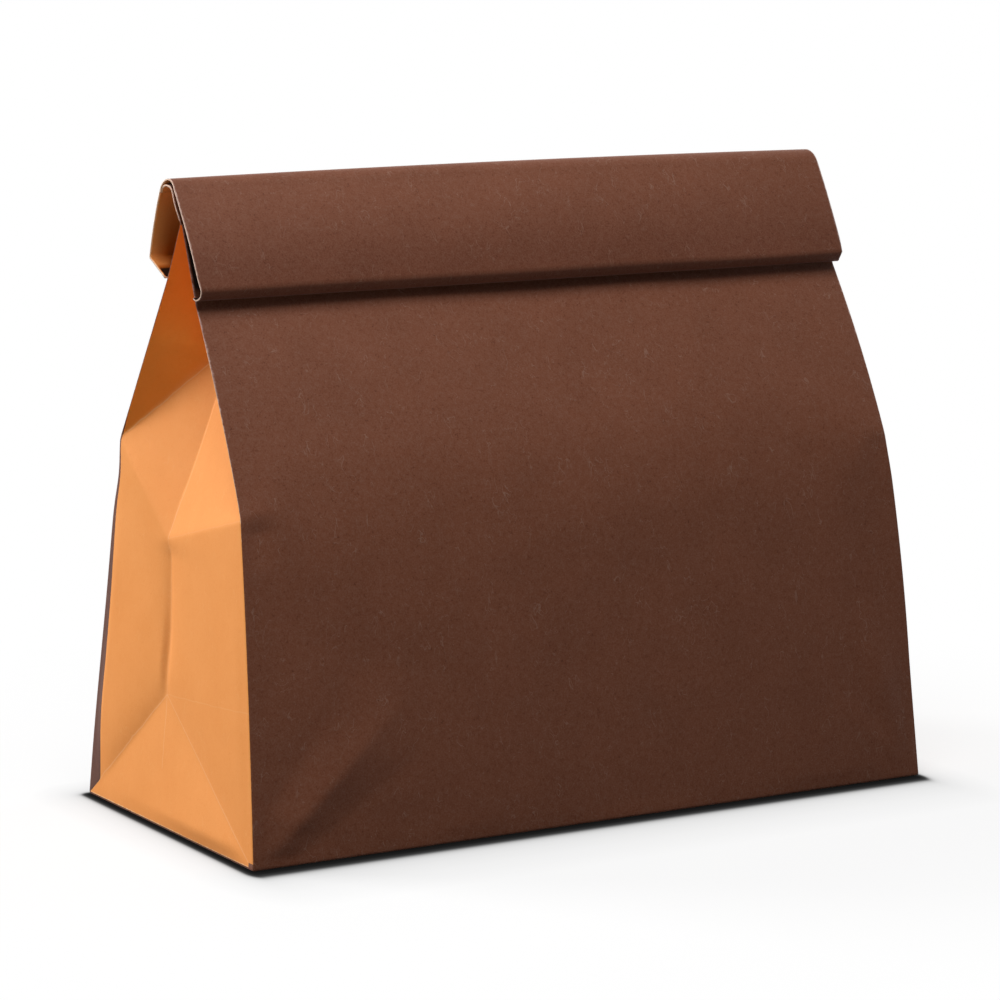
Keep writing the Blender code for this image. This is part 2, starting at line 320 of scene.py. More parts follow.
def front_reach(z, across):
    """How far the front wall stands forward, across it from 0 at the left fold to 1 at the right."""
    kink = (mix(LEFT_KINK_Z, RIGHT_KINK_Z, across),
            half_depth - mix(LEFT_KINK_SETBACK, RIGHT_KINK_SETBACK, across))
    neck = (NECK_Z, FRONT_NECK_REACH)
    if z > NECK_Z:
        return between(z, neck, (APEX_Z, APEX_FORWARD + APEX_HALF))
    lower = between(z, (0, half_depth), kink, LOWER_BOW)
    upper = between(z, kink, neck, UPPER_BOW)
    return soft_least(lower, upper, kink_softness(across, FRONT_SOFTNESS))


def back_reach(z, across=0.0):
    """How far the back wall stands back."""
    kink = (BACK_KINK_Z, half_depth - BACK_KINK_SETBACK)
    neck = (BACK_NECK_Z, BACK_NECK_REACH)
    if z > BACK_NECK_Z:
        return between(z, neck, (APEX_Z, APEX_HALF - APEX_FORWARD))
    spread = FOOT_SPREAD * (1 - smooth_step(z, 0, FOOT_SPREAD_Z))
    hollow = BACK_HOLLOW * math.exp(-((z - BACK_KINK_Z + BACK_HOLLOW_DROP) / BACK_HOLLOW_REACH) ** 2)
    lower = between(z, (0, half_depth), kink, LOWER_BOW) + spread - hollow
    return soft_least(lower, between(z, kink, neck), kink_softness(across, BACK_SOFTNESS))


def stepped(z, *points):
    """The value at height z on the line through (height, value) points."""
    for start, end in zip(points, points[1:]):
        if z <= end[0]:
            break
    return between(z, start, end)


def middle_x(z, side):
    """Distance of a gusset's middle fold from the middle of the bag."""
    inset = stepped(z, (0, 0), (BASE_FOLD_Z, BASE_FOLD_INSET), (STAR_Z, STAR_INSET),
                    (VALLEY_Z, VALLEY_INSET), (APEX_Z, half_depth))
    return edge_x(z, side) - inset


def gusset_middle(z, side):
    level = max(z, VALLEY_Z)
    y = (back_reach(level) - front_reach(level, 0 if side == left else 1)) / 2
    if z < VALLEY_Z:
        y = stepped(z, (0, FOOT_MIDDLE_Y), (BASE_FOLD_Z, BASE_FOLD_Y), (STAR_Z, STAR_Y), (VALLEY_Z, y))
    return Vector((side * middle_x(z, side), y, z))


def side_fold(z, side, wall):
    """A point on the fold between a gusset and the front (-1) or back (+1) wall."""
    across = 0 if side == left else 1
    reach = back_reach(z) if wall > 0 else front_reach(z, across)
    return Vector((side * edge_x(z, side), wall * reach, z))


def kink_level(side, wall):
    """Height of the kink in the fold between a gusset and the front (-1) or back (+1) wall."""
    if wall > 0:
        return BACK_KINK_Z
    return LEFT_KINK_Z if side == left else RIGHT_KINK_Z


def slant_fold(z, side, wall):
    """The slanting fold in one half of a gusset: corner, middle, kink in the wall, valley."""
    kink_z = kink_level(side, wall)
    if z <= BASE_FOLD_Z:
        start, end = side_fold(0, side, wall), gusset_middle(BASE_FOLD_Z, side)
        return start.lerp(end, z / BASE_FOLD_Z)
    if STAR_Z < z <= kink_z:
        start, end = gusset_middle(STAR_Z, side), side_fold(kink_z, side, wall)
        return start.lerp(end, (z - STAR_Z) / (kink_z - STAR_Z))
    if kink_z < z < VALLEY_Z:
        start, end = side_fold(kink_z, side, wall), gusset_middle(VALLEY_Z, side)
        return start.lerp(end, (z - kink_z) / (VALLEY_Z - kink_z))
    return gusset_middle(z, side)


def lengths(points):
    return [(b - a).length for a, b in zip(points, points[1:])]


def along(points, share):
    """The point at a share of the length of a line through points."""
    wanted = share * sum(lengths(points))
    for start, end, length in zip(points, points[1:], lengths(points)):
        if wanted <= length and length > 0:
            return start.lerp(end, wanted / length)
        wanted -= length
    return points[-1].copy()


def wall_shares(width):
    """Columns of a wall, as shares of its width: close near the folds, then even."""
    near = [offset / width for offset in NEAR_FOLD]
    count = round((1 - 2 * near[-1]) * width / WALL_STEP)
    span = 1 - 2 * near[-1]
    inner = [near[-1] + span * i / count for i in range(1, count)]
    return near + inner + [1 - share for share in reversed(near)]


def strip_width(z):
    """Width of the brown strip: the folded corner covers it near the floor."""
    under_corner = (half_depth - BASE_FOLD_Y) / BASE_FOLD_Z * z
    return max(min(STRIP_WIDTH * (1 - z / STRIP_TOP_Z), under_corner), STRIP_LEAST)


def gusset_ring(z, side):
    """Points of one gusset at one height, from its front fold to its back fold."""
    front, back = side_fold(z, side, -1), side_fold(z, side, 1)
    middle = gusset_middle(z, side)
    front_half = [front, slant_fold(z, side, -1), middle]
    back_half = [middle, slant_fold(z, side, 1), back]
    front_length, back_length = sum(lengths(front_half)), sum(lengths(back_half))
    near = [offset / front_length for offset in NEAR_FOLD]
    half = GUSSET_COLUMNS // 2
    shares = near + [mix(near[-1], 1, i / half) for i in range(1, half)]
    points = [along(front_half, share) for share in shares] + [middle]
    strip = strip_width(z)
    last = 1 - (strip + NEAR_STRIP[0]) / back_length
    shares = [last * i / half for i in range(1, half)]
    shares += [1 - (strip + offset) / back_length for offset in NEAR_STRIP]
    points += [along(back_half, share) for share in shares]
    points += [along(back_half, 1 - strip * share / back_length) for share in STRIP_SHARES]
    return points


def paper_noise(x, y, z, size, seed=0.0):
    return noise.noise(Vector((x / size + seed, y / size, z / size + 2 * seed)))


def crease(point, start, end, height, left_reach, right_reach):
    """Height at a point of a ridge that starts in a wall's corner and fades to both sides of its line."""
    line = end - start
    share = (point - start).dot(line) / line.length_squared
    sideways = (point - start).dot(Vector((line.y, -line.x)).normalized())
    reach = right_reach if sideways > 0 else left_reach
    spread = reach * mix(0.35, 1.0, min(max(share, 0), 1))
    away = math.hypot(sideways, max(-share, 0) * line.length)
    fade = smooth_step(share, -0.02, 0.35) * (1 - smooth_step(share, 0.60, 1.25))
    return height * fade * max(1 - away / spread, 0) ** 1.25


def pinch(point, side, level, reach, depth):
    """Depth of the groove that a kinked fold presses into a wall, at the side with the fold."""
    from_fold = HALF_WIDTH - side * point.x
    above = point.y - level
    shape = max(1 - above / PINCH_ABOVE, 0) if above > 0 else max(1 + above / PINCH_BELOW, 0)
    fade = smooth_step(from_fold, 0.0005, 0.0035) * (1 - smooth_step(from_fold, reach * 0.4, reach))
    return -depth * shape * fade


def wall_relief(x, z, relief):
    """How far a wall stands out from its even shape."""
    point = Vector((x, z))
    out = 0
    for height, length, seed in relief["waves"]:
        out += height * paper_noise(x, relief["layer"], z, length, seed)
    for start, end, height, left_reach, right_reach in relief["creases"]:
        out += crease(point, Vector(start), Vector(end), height, left_reach, right_reach)
    for centre, reach, height, length, seed in relief["crinkles"]:
        near = math.exp(-math.hypot(x - centre[0], z - centre[1]) / reach)
        out += height * near * paper_noise(x, relief["layer"], z, length, seed)
    for place in relief["pinches"]:
        out += pinch(point, *place)
    return out


def from_base_crease(y, z, side, wall):
    """Height of a point over the crease from a foot to the base fold, and its place along that crease."""
    foot = Vector((wall * half_depth, 0))
    peak = Vector((gusset_middle(BASE_FOLD_Z, side).y, BASE_FOLD_Z))
    line = peak - foot
    normal = Vector((-line.y, line.x)).normalized() * -wall
    offset = Vector((y, z)) - foot
    return offset.dot(normal), offset.dot(line) / line.length_squared


def upper_facet(y, z, side):
    """Place of a point in the facet between star, kink and valley: from wall to middle, and up it."""
    wall = 1 if y > gusset_middle(z, side).y else -1
    kink_z = kink_level(side, wall)
    kink_y, valley_y = side_fold(kink_z, side, wall).y, gusset_middle(VALLEY_Z, side).y
    inward = min(max((y - kink_y) / (valley_y - kink_y), 0), 1)
    bottom, top = mix(kink_z, STAR_Z, inward), mix(kink_z, VALLEY_Z, inward)
    return inward, (z - bottom) / max(top - bottom, 0.0010)


def facet_sag(y, z, side, wall):
    """How far an upper facet sags between its folds."""
    inward, up = upper_facet(y, z, side)
    return FACET_SAG[wall] * inward * math.sin(math.pi * up) if 0 < up < 1 else 0


def gusset_relief(y, z, side):
    """How far a gusset stands out from its flat facets."""
    seed = 4.4 if side == left else 9.2
    out = 0.00022 * paper_noise(0, y, z, 0.030, seed)
    out += 0.00008 * paper_noise(0, y, z, 0.011, seed + 3)
    centre_y = gusset_middle(z, side).y
    wall = 1 if y > centre_y else -1
    upright = smooth_step(z, BASE_FOLD_Z, BASE_FOLD_Z + 0.022) * (1 - smooth_step(z, GROOVE_TOP_Z, STAR_Z))
    out -= GROOVE * upright * math.exp(-abs(y - centre_y) / GROOVE_REACH[wall])
    over_back, back_share = from_base_crease(y, z, side, 1)
    over_front, front_share = from_base_crease(y, z, side, -1)
    if over_back < 0 and over_front < 0:
        lift = TRIANGLE_LIFT * mix(0.4, 1.0, 1 - smooth_step(front_share, 0.2, 0.9))
        return out + lift * (1 - math.exp(over_front / 0.0060)) * (1 - math.exp(over_back / 0.0180))
    over, share = (over_back, back_share) if wall > 0 else (over_front, front_share)
    swell = smooth_step(share, 0.05, 0.45) * (1 - smooth_step(share, 1.0, 1.35))
    rise = BASE_RISE[wall] * swell * (1 - math.exp(-over / RISE_START[wall])) * math.exp(-over / RISE_REACH)
    return out + rise * smooth_step(abs(y - centre_y), 0, 0.0030) - facet_sag(y, z, side, wall)


def round_folds(ring, corners):
    """Rounds the ring over its four side folds. corners are the folds' places in the ring."""
    count = len(ring)
    raw = [point.copy() for point in ring]
    for corner in corners:
        fold = raw[corner]
        ways = [(raw[(corner + step * 6) % count] - fold).normalized() for step in (-1, 1)]
        shift = ways[0] + ways[1]
        for place in range(corner - 7, corner + 8):
            distance = (raw[place % count] - fold).length
            share = max(FOLD_RADIUS - distance, 0) / (2 * FOLD_RADIUS)
            ring[place % count] += shift * FOLD_RADIUS * share * share


def base_shift(point, distance):
    """How far the rounding over the base edge moves a point that is a distance from the edge."""
    share = max(BASE_RADIUS - distance, 0) / (2 * BASE_RADIUS)
    shift = BASE_RADIUS * share * share
    return Vector((-point.x * (shift / HALF_WIDTH), -point.y * (shift / half_depth), shift))


def row_levels():
    levels = [0, 0.00015, 0.0004, SKIRT_Z, 0.0014, CORNER_Z]
    count = round((APEX_Z - CORNER_Z) / ROW_STEP)
    return levels + [mix(CORNER_Z, APEX_Z, i / count) for i in range(1, count + 1)]


class Surface:
    """Points with their distance from a fold and their painted shade, and faces with their material's slot.
    """

    def __init__(self):
        self.points, self.folds, self.shades, self.faces, self.slots = [], [], [], [], []

    def point(self, place, fold, shade):
        self.points.append(tuple(place))
        self.folds.append(fold)
        self.shades.append(shade)
        return len(self.points) - 1

    def face(self, corners, slot=0):
        self.faces.append(tuple(corners))
        self.slots.append(slot)

    def build(self, name, materials, smooth=True):
        mesh = bpy.data.meshes.new(name)
        mesh.from_pydata(self.points, [], self.faces)
        for material in materials:
            mesh.materials.append(material)
        mesh.polygons.foreach_set("material_index", self.slots)
        mesh.polygons.foreach_set("use_smooth", [smooth] * len(self.faces))
        for key, values in (("fold", self.folds), ("shade", self.shades)):
            mesh.attributes.new(key, "FLOAT", "POINT").data.foreach_set("value", values)
        mesh.validate()
        mesh.update()
        made = bpy.data.objects.new(name, mesh)
        bpy.context.scene.collection.objects.link(made)
        return made


class Body:
    """The standing bag as rows of points round it: front, right gusset, back, left gusset."""

    def __init__(self):
        self.levels = row_levels()
        self.shares = wall_shares(2 * HALF_WIDTH)
        wall_count = len(self.shares)
        self.gusset_count = len(gusset_ring(0, left))
        self.strip_columns = len(STRIP_SHARES) - 1
        self.right_start = wall_count - 1
        self.back_start = self.right_start + self.gusset_count - 1
        self.left_start = self.back_start + wall_count - 1
        self.ring_count = self.left_start + self.gusset_count - 1
        self.rows = [self.ring(z) for z in self.levels]
        self.smooth_gussets()
        self.finish_rows()

    def ring(self, z):
        front = []
        back = []
        for share in self.shares:
            x = mix(-edge_x(z, left), edge_x(z, right), share)
            front.append(Vector((x, -front_reach(z, share), z)))
            back.append(Vector((x, back_reach(z, share), z)))
        right_side = gusset_ring(z, right)
        left_side = gusset_ring(z, left)
        back.reverse()
        left_side.reverse()
        return front + right_side[1:] + back[1:] + left_side[1:-1]

    def smooth_gussets(self):
        """Softens the folds inside the gussets, and leaves the side folds as they are."""
        before = [[point.copy() for point in row] for row in self.rows]
        for start in (self.right_start, self.left_start):
            for r in range(6, len(self.rows) - 1):
                for c in range(start + 5, start + self.gusset_count - 5):
                    around = before[r][c - 1] + before[r][(c + 1) % self.ring_count]
                    around += before[r - 1][c] + before[r + 1][c]
                    self.rows[r][c] = (around + before[r][c] * 6) / 10

    def finish_rows(self):
        corners = (0, self.right_start, self.back_start, self.left_start)
        for z, row in zip(self.levels, self.rows):
            self.add_relief(z, row)
            round_folds(row, corners)
            for point in row:
                point += base_shift(point, z)

    def add_relief(self, z, row):
        near_base = smooth_step(z, 0, RELIEF_START_Z)
        spans = ((0, self.right_start, -1, FRONT_RELIEF), (self.back_start, self.left_start, 1, BACK_RELIEF))
        for first, last, outward, relief in spans:
            upright = near_base * (1 - smooth_step(z, *relief["fade"]))
            for point in row[first + 1:last]:
                fade = smooth_step(HALF_WIDTH - abs(point.x), 0.0008, 0.010) * upright
                point.y += outward * wall_relief(point.x, z, relief) * fade
        for first, last, side in ((self.right_start, self.back_start, right),
                                  (self.left_start, self.ring_count, left)):
            front, back = front_reach(z, 0 if side == left else 1), back_reach(z)
            for point in row[first + 1:last]:
                from_fold = min(point.y + front, back - point.y)
                fade = smooth_step(from_fold, 0.0006, 0.008) * near_base
                fade *= 1 - smooth_step(z, *GUSSET_FADE)
                point.x += side * gusset_relief(point.y, z, side) * fade

    def wall_distance(self, place):
        """Distance of a wall's column from the wall's nearest fold."""
        return min(self.shares[place], 1 - self.shares[place]) * 2 * HALF_WIDTH

    def fold_distance(self, c, z):
        """Distance of a column from the nearest side fold, along the paper."""
        if c <= self.right_start:
            return self.wall_distance(c)
        if self.back_start <= c <= self.left_start:
            return self.wall_distance(c - self.back_start)
        index = c - self.right_start if c < self.back_start else self.ring_count - c
        if index < len(NEAR_FOLD):
            return NEAR_FOLD[index]
        to_back = self.gusset_count - 1 - index
        if to_back <= self.strip_columns:
            return strip_width(z) * STRIP_SHARES[self.strip_columns - to_back]
        return 0.003 + min(index, to_back) * 0.0005

    def shade(self, c, point, from_fold, name):
        """Painted shade at a point: 1 where the roll hides it, less in a gusset's recess and on the strip."""
        z = point.z
        # Painted shade on the front wall: a soft shadow below the flap's foot, and full where the flap hides
        # the wall.
        if c <= self.right_start:
            painted_flap_shade = 0.14 * smooth_step(z, 0.1575, 0.1625) + 0.86 * smooth_step(z, 0.1655, 0.1680)
            return painted_flap_shade * smooth_step(from_fold, 0.0006, 0.0012)
        # Painted shade where the roll hides the back wall.
        if self.back_start <= c <= self.left_start:
            return smooth_step(z, 0.1700, 0.1720) * smooth_step(from_fold, 0.0006, 0.0014)
        # Painted shade on the brown strip, darkest at its edge by the tan, and in a gusset's recess above its
        # slanting folds.
        strip_place = min(abs(c - self.back_start), abs(c - self.left_start))
        if name == "walls" and strip_place <= self.strip_columns:
            share = STRIP_EDGE_SHADE if strip_place == self.strip_columns else STRIP_SHADE
            return share * (1 - smooth_step(z, 0.090, STRIP_TOP_Z))
        side = right if c < self.back_start else left
        inward, up = upper_facet(point.y, z, side)
        return RECESS_SHADE * smooth_step(up, 0.97, 1.08)

    def piece(self, name, blocks, materials, base=False):
        """A mesh object of blocks of the grid, each (first column, last column, first row, last row)."""
        surface = Surface()
        index = {}

        def vertex(r, c):
            c %= self.ring_count
            if (r, c) not in index:
                z, place = self.levels[r], self.rows[r][c]
                from_fold = self.fold_distance(c, z)
                narrow = mix(1.0, 0.42, smooth_step(z, 0.100, 0.150))
                unworn = 0.0010 * (1 - smooth_step(z, 0.070, 0.110))
                foot = max(z - SKIRT_Z, 0) + 0.0001 if name != "walls" else 1
                shade = self.shade(c, place, from_fold, name)
                index[r, c] = surface.point(place, min(from_fold * narrow + unworn, foot), shade)
            return index[r, c]

        for first, last, bottom, top in blocks:
            for r in range(bottom, top):
                for c in range(first, last):
                    surface.face((vertex(r, c), vertex(r, c + 1), vertex(r + 1, c + 1), vertex(r + 1, c)))
        if base:
            self.add_base(surface, [vertex(0, c) for c in range(self.ring_count)])
        return surface.build(name, materials)

    def add_base(self, surface, border):
        """Closes the bottom with rings inside its border, which rise to make room for the flaps."""
        for distance in BASE_RINGS:
            share = max(BASE_RADIUS - distance, 0) / (2 * BASE_RADIUS)
            z = BASE_RADIUS * share * share + BOTTOM_RISE * smooth_step(distance, 0.0014, BASE_RINGS[-1])
            scale = Vector((1 - distance / HALF_WIDTH, 1 - distance / half_depth))
            inner = []
            for raw in self.rows[0]:
                inner.append(surface.point((raw.x * scale.x, raw.y * scale.y, z), distance + 0.0010, 0))
            for c in range(self.ring_count):
                d = (c + 1) % self.ring_count
                surface.face((border[d], border[c], inner[c], inner[d]))
            border = inner
        surface.face(reversed(border))


def bottom_flap(name, wall, bottom, materials):
    """One of the two flaps that close the bottom, from the front (-1) or back (+1) edge."""
    long_x, edge_y = HALF_WIDTH - BOTTOM_MARGIN, half_depth - BOTTOM_MARGIN
    short_x = long_x - edge_y - BOTTOM_OVERLAP
    outline = [(-long_x, wall * edge_y), (long_x, wall * edge_y), (short_x, -wall * BOTTOM_OVERLAP),
               (-short_x, -wall * BOTTOM_OVERLAP)]
    if wall > 0:
        outline.reverse()
    surface = Surface()
    for z in (bottom, bottom + BOTTOM_SHEET):
        for x, y in outline:
            surface.point((x, y, z), UNWORN, 0)
    surface.face((3, 2, 1, 0))
    surface.face((4, 5, 6, 7))
    for i in range(4):
        j = (i + 1) % 4
        surface.face((i, j, j + 4, i + 4), 1)
    return surface.build(name, materials, smooth=False)


# Roll
def tangent_angle(point, centre, radius, turn):
    """Angle on a circle where the line from a point touches it."""
    offset = point - centre
    return math.atan2(offset.y, offset.x) + turn * math.acos(radius / offset.length)


def curve(start, pull, end, steps):
    """Points of a quadratic curve between two points, drawn towards a third."""
    points = []
    for i in range(steps + 1):
        t = i / steps
        points.append(start * (1 - t) ** 2 + 2 * pull * t * (1 - t) + end * t ** 2)
    return points


def ridge_arc(share):
    """Setback of the ridge's centre, its top and its radius, at a share of the roll's length."""
    top = ridge_z + RIDGE_LIFT * 4 * share * (1 - share) + RIGHT_RISE * share
    return mix(*RIDGE_SETBACK, share), top, mix(*RIDGE_RADIUS, share)


def roll_section(share, inward=0.0):
    """The outer turn at a share of the roll's length, as (y, z), from the curl to the floor's tip.

    inward moves the whole line towards the inside of the roll."""
    setback, top, radius = ridge_arc(share)
    centre = Vector((setback, top - radius))
    foot = Vector((-FRONT_NECK_REACH - FLAP_STAND, NECK_Z + FOOT_RISE))
    foot.x += 0.0006 * noise.noise(Vector((share * 5, 2.2, 0)))
    foot.y += 0.0005 * noise.noise(Vector((share * 4, 7.9, 0)))
    tip = Vector((-FRONT_NECK_REACH - 0.0003, NECK_Z + 0.0015))
    pull = Vector((foot.x + 0.0018, NECK_Z - 0.0002))
    heel = Vector((BACK_NECK_REACH + HEEL_STAND, BACK_NECK_Z + HEEL_RISE))
    floor_tip = Vector((BACK_NECK_REACH - 0.0002, BACK_NECK_Z))
    bow = mix(*FLAP_BOW, share) + FLAP_SWELL * 4 * share * (1 - share)
    if inward:
        foot.x += inward
        pull += Vector((inward, inward))
        tip.y += inward
        heel += Vector((-inward, inward * 0.6))
        floor_tip += Vector((0, inward * 1.2))
        radius -= inward
    front_turn = tangent_angle(foot, centre, radius, -1) % (2 * math.pi)
    back_turn = tangent_angle(heel, centre, radius, 1)
    ridge = []
    for i in range(21):
        angle = mix(front_turn, back_turn, i / 20)
        ridge.append(centre + radius * Vector((math.cos(angle), math.sin(angle))))
    line = (ridge[0] - foot).normalized()
    flap_pull = (foot + ridge[0]) / 2 + 2 * bow * Vector((-line.y, line.x))
    section = curve(tip, pull, foot, 12)
    section += curve(foot, flap_pull, ridge[0], 26)[1:] + ridge[1:]
    line = (heel - ridge[-1]).normalized()
    back_pull = (ridge[-1] + heel) / 2 + 2 * BACK_FLAP_BOW * Vector((-line.y, line.x))
    section += curve(ridge[-1], back_pull, heel, 20)[1:-1]
    section += [heel.lerp(ridge[-1], 0.015), heel.lerp(floor_tip, 0.04)]
    section += [heel.lerp(floor_tip, i / 8) for i in range(1, 9)]
    return section


def fin_section(share, outward=0.0):
    """The inner turn: up from where the walls close, over under the ridge, to the back flap."""
    setback, top, ridge_radius = ridge_arc(share)
    centre = Vector((setback + 0.0002, top - ridge_radius - 0.0001))
    radius = ridge_radius - SHEET - RIDGE_GAP
    start = Vector((-APEX_FORWARD - APEX_HALF, APEX_Z - 0.0003))
    turn = tangent_angle(start, centre, radius, -1) % (2 * math.pi)
    end_turn = math.radians(12)
    across = Vector((math.cos(turn), math.sin(turn)))
    first = centre + radius * across
    line = [start.lerp(first, i / 14) - across * outward * smooth_step(i / 14, 0, 0.3) for i in range(14)]
    for i in range(15):
        angle = mix(turn, end_turn, i / 14)
        reach = radius - outward + (RIDGE_GAP + SHEET * 0.4) * smooth_step(i / 14, 0.45, 1.0)
        line.append(centre + reach * Vector((math.cos(angle), math.sin(angle))))
    return line


def sheet_piece(name, outer_line, inner_line, materials):
    """A sheet with thickness along X: an outer and an inner surface, joined by cut edges."""
    count = round(2 * roll_half / ROLL_STEP)
    ends = [place / (2 * roll_half) for place in NEAR_ROLL_END]
    shares = ends + [mix(ends[-1], 1 - ends[-1], i / count) for i in range(1, count)]
    shares += [1 - share for share in reversed(ends)]
    length = len(outer_line(0))
    surface = Surface()

    def add(line, inside_face):
        rows = []
        for share in shares:
            x = mix(-roll_half, roll_half + RIGHT_OVERHANG, share)
            depth = min(share, 1 - share) * 2 * roll_half
            row = []
            for i, place in enumerate(line(share)):
                point = (x + end_shape(share, i, name), place.x, place.y)
                row.append(surface.point(point, depth, roll_shade(name, inside_face, i, depth)))
            rows.append(row)
        return rows

    def add_rim(flip, *rim):
        surface.face(reversed(rim) if flip else rim, 2)

    outside, inside = add(outer_line, False), add(inner_line, True)
    for a in range(len(shares) - 1):
        for i in range(length - 1):
            surface.face((outside[a][i], outside[a][i + 1], outside[a + 1][i + 1], outside[a + 1][i]))
            surface.face((inside[a][i + 1], inside[a][i], inside[a + 1][i], inside[a + 1][i + 1]), 1)
    for a, flip in ((0, False), (len(shares) - 1, True)):
        for i in range(length - 1):
            add_rim(flip, inside[a][i], inside[a][i + 1], outside[a][i + 1], outside[a][i])
    for i, flip in ((0, False), (length - 1, True)):
        for a in range(len(shares) - 1):
            add_rim(flip, inside[a][i], outside[a][i], outside[a + 1][i], inside[a + 1][i])
    return surface.build(name, materials)


def roll_shade(name, inside_face, i, depth):
    """Painted shade on the roll: 1 between its turns where no light gets in, 0 in the open, and some on the
    flap's outer face towards its foot.
    """
    if name == "roll_inner":
        if inside_face:
            return 0.45 * smooth_step(depth, 0.0010, 0.0080)
        return smooth_step(depth, 0.0006, 0.0020)
    # Painted shade on the flap's outer face, darkest at its foot.
    if not inside_face:
        return FLAP_SHADE * (1 - smooth_step(i, FOOT_END, FLAP_FADE_END))
    if i <= FOOT_END:
        return 1
    if i <= RIDGE_END:
        return smooth_step(depth, 0.0004, 0.0016)
    # Painted shade inside the back flap, darker further in and lower down.
    if i < FLOOR_START:
        low = (i - RIDGE_END) / (FLOOR_START - RIDGE_END)
        return mix(0.16, 0.88, low ** 2) * smooth_step(depth, 0.0005, 0.0075)
    # Painted shade on the floor of the roll: full by the wall, less in the open.
    near_wall = smooth_step(i, FLOOR_START + 3, FLOOR_START + 5)
    open_floor = mix(0.22, 0.60, smooth_step(depth, 0.0020, 0.0080))
    return mix(open_floor, smooth_step(depth, 0.0, 0.0006), near_wall)


def end_shape(share, i, name):
    """How far a sheet's end is cut back at its rounded corners."""
    near_end = max(1 - min(share, 1 - share) * 2 * roll_half / END_CUT_REACH, 0)
    if not near_end:
        return 0
    side = 1 if share < 0.5 else -1
    if name != "roll_outer":
        return side * mix(0.0012, 0.0004, smooth_step(i, 0, FOOT_END)) * near_end
    at_foot = math.exp(-((i - 9) / 4) ** 2)
    at_ridge = math.exp(-((i - 47) / 8) ** 2)
    return side * (0.0006 * at_foot + 0.0005 * at_ridge) * near_end


# Finish
def node(tree, kind, inputs=(), **settings):
    """A new node with its settings, and its inputs, each a socket to link or a value."""
    made = tree.nodes.new(kind)
    for key, value in settings.items():
        setattr(made, key, value)
    for key, value in dict(inputs).items():
        if isinstance(value, bpy.types.NodeSocket):
            tree.links.new(value, made.inputs[key])
        else:
            made.inputs[key].default_value = value
    return made


def math_node(tree, operation, a, b=0.0, clamp=False):
    return node(tree, "ShaderNodeMath", {0: a, 1: b}, operation=operation, use_clamp=clamp).outputs[0]


def times(tree, a, b, clamp=False):
    return math_node(tree, "MULTIPLY", a, b, clamp)


def vector_node(tree, operation, a, b=(0, 0, 0)):
    return node(tree, "ShaderNodeVectorMath", {0: a, 1: b}, operation=operation)


def noise_node(tree, vector, scale, detail=2.0, roughness=0.5, distortion=0.0):
    inputs = {"Vector": vector, "Scale": scale, "Detail": detail, "Roughness": roughness,
              "Distortion": distortion}
    return node(tree, "ShaderNodeTexNoise", inputs).outputs["Fac"]


def ramp(tree, value, start, end):
    """0 at start, 1 at end, smooth between."""
    inputs = {"Value": value, "From Min": start, "From Max": end}
    return node(tree, "ShaderNodeMapRange", inputs, interpolation_type="SMOOTHSTEP").outputs["Result"]


def mixed(tree, share, a, b, blend="MIX"):
    inputs = {"Factor": share}
    for key, value in (("A", a), ("B", b)):
        inputs[key] = (*value, 1) if isinstance(value, tuple) else value
    return node(tree, "ShaderNodeMix", inputs, data_type="RGBA", blend_type=blend).outputs["Result"]


def fibre_mask(tree, vector, scale, width, keep):
    """Thin curved strands: where a noise passes its middle value, in patches."""
    strands = noise_node(tree, vector, scale, 1.0, 0.5, 0.6)
    line = math_node(tree, "ABSOLUTE", math_node(tree, "SUBTRACT", strands, 0.5))
    thin = ramp(tree, line, width, 0.0)
    patches = ramp(tree, noise_node(tree, vector, scale * 0.55, 2.0), keep, keep + 0.10)
    return times(tree, thin, patches)


def crease_lines(tree, where, lines, width):
    """1 on thin pressed lines between pairs of (y, z) points, seen from the side of the bag."""
    drift = noise_node(tree, where, SHAKE_SCALE)
    shake = times(tree, math_node(tree, "SUBTRACT", drift, 0.5), CREASE_SHAKE)
    shift = node(tree, "ShaderNodeCombineXYZ", {"Y": shake, "Z": shake}).outputs[0]
    flat = vector_node(tree, "MULTIPLY", where, (0, 1, 1)).outputs[0]
    moved = vector_node(tree, "ADD", flat, shift).outputs[0]
    found = None
    for start, end, strength in lines:
        start, end = Vector((0, *start)), Vector((0, *end))
        line = end - start
        offset = vector_node(tree, "SUBTRACT", moved, start).outputs[0]
        dot = vector_node(tree, "DOT_PRODUCT", offset, line / line.length_squared).outputs["Value"]
        share = math_node(tree, "ADD", dot, 0.0, clamp=True)
        foot = node(tree, "ShaderNodeVectorMath", {0: line, "Scale": share}, operation="SCALE").outputs[0]
        away = vector_node(tree, "DISTANCE", offset, foot).outputs["Value"]
        mark = times(tree, ramp(tree, away, width, 0.0), strength)
        found = mark if found is None else math_node(tree, "MAXIMUM", found, mark)
    return found


